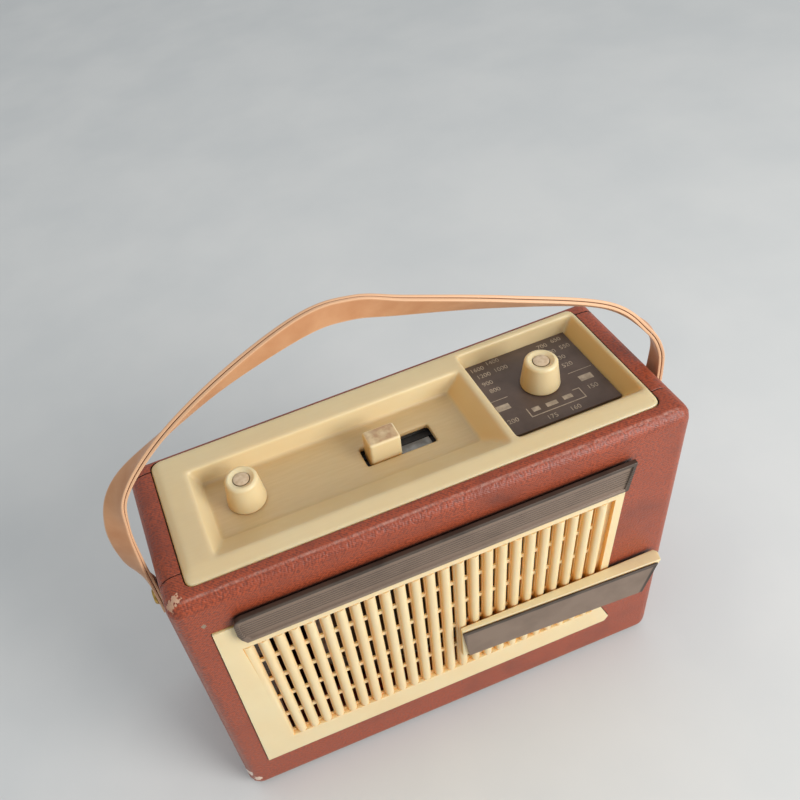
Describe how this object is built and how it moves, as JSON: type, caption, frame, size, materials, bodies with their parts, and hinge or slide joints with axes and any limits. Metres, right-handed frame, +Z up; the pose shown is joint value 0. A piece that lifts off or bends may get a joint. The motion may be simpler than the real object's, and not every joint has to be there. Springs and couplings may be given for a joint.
{
  "type": "portable radio",
  "caption": "Portable radio in a red-brown leathercloth case with a slotted cream grille, sunk top controls with turning knobs and a sliding switch, and a swinging leather strap.",
  "frame": {"origin": "centre of the case's width and depth on its flat base", "axes": "+X to the right seen from the front, +Y to the back, +Z up"},
  "size_m": [0.2795, 0.1008, 0.2952],
  "materials": {
    "leathercloth": "red-brown grained leathercloth over board",
    "cream_plastic": "aged cream moulding",
    "dark_bar": "dark anodised, bare",
    "dial_plate": "satin dark brown",
    "strap_leather": "tan, waxed",
    "brass": "satin",
    "steel": "plain sheet",
    "laminate": "phenolic board",
    "cone_paper": "pressed paper",
    "ferrite": "sintered",
    "copper_wire": "enamelled wire",
    "battery_card": "card sleeve",
    "black_plastic": "moulded"
  },
  "bodies": {
    "cabinet": {"front_panel": "leathercloth", "left_end": "leathercloth", "right_end": "leathercloth", "base_board": "leathercloth", "rear_panel": "leathercloth", "top_deck": "cream_plastic", "dial_plate": "dial_plate", "grille": "cream_plastic", "name_bar": "dark_bar", "badge_rail": "cream_plastic", "badge_plate": "dark_bar", "volume_pot": "black_plastic", "tuning_stator": "steel", "switch_body": "black_plastic", "strap_tab_left": "strap_leather", "strap_tab_right": "strap_leather", "strap_rivet_left": "brass", "strap_rivet_right": "brass", "chassis": "steel", "circuit_board": "laminate", "speaker_basket": "steel", "speaker_cone": "cone_paper", "speaker_magnet": "ferrite", "ferrite_rod": "ferrite", "rod_clip_left": "black_plastic", "rod_clip_right": "black_plastic", "aerial_coil": "copper_wire", "if_can_1": "steel", "if_can_2": "steel", "if_can_3": "steel", "electrolytic_1": "black_plastic", "electrolytic_2": "black_plastic", "electrolytic_3": "black_plastic", "output_transformer": "steel", "driver_transformer": "steel", "battery": "battery_card", "battery_tray": "steel"},
    "volume": {"volume_knob": "cream_plastic", "volume_cap": "cream_plastic", "volume_shaft": "brass"},
    "tuning": {"tuning_knob": "cream_plastic", "tuning_cap": "cream_plastic", "tuning_rotor": "brass"},
    "band": {"band_slider": "cream_plastic", "switch_lever": "steel"},
    "handle": {"strap": "strap_leather"}
  },
  "joints": [
    {"name": "volume_turn", "type": "hinge", "parent": "cabinet", "child": "volume", "pos_m": [-0.078, 0.00801, 0.1848], "axis": [0, 0, -1], "range_deg": [0, 270]},
    {"name": "tuning_turn", "type": "hinge", "parent": "cabinet", "child": "tuning", "pos_m": [0.0813, 0.0096, 0.1867], "axis": [0, 0, -1], "range_deg": [0, 180]},
    {"name": "band_slide", "type": "slide", "parent": "cabinet", "child": "band", "axis": [1, 0, 0], "range_m": [0, 0.017]},
    {"name": "strap_swing", "type": "hinge", "parent": "cabinet", "child": "handle", "pos_m": [0, -0.008, 0.16], "axis": [1, 0, 0], "range_deg": [-35, 85]}
  ]
}
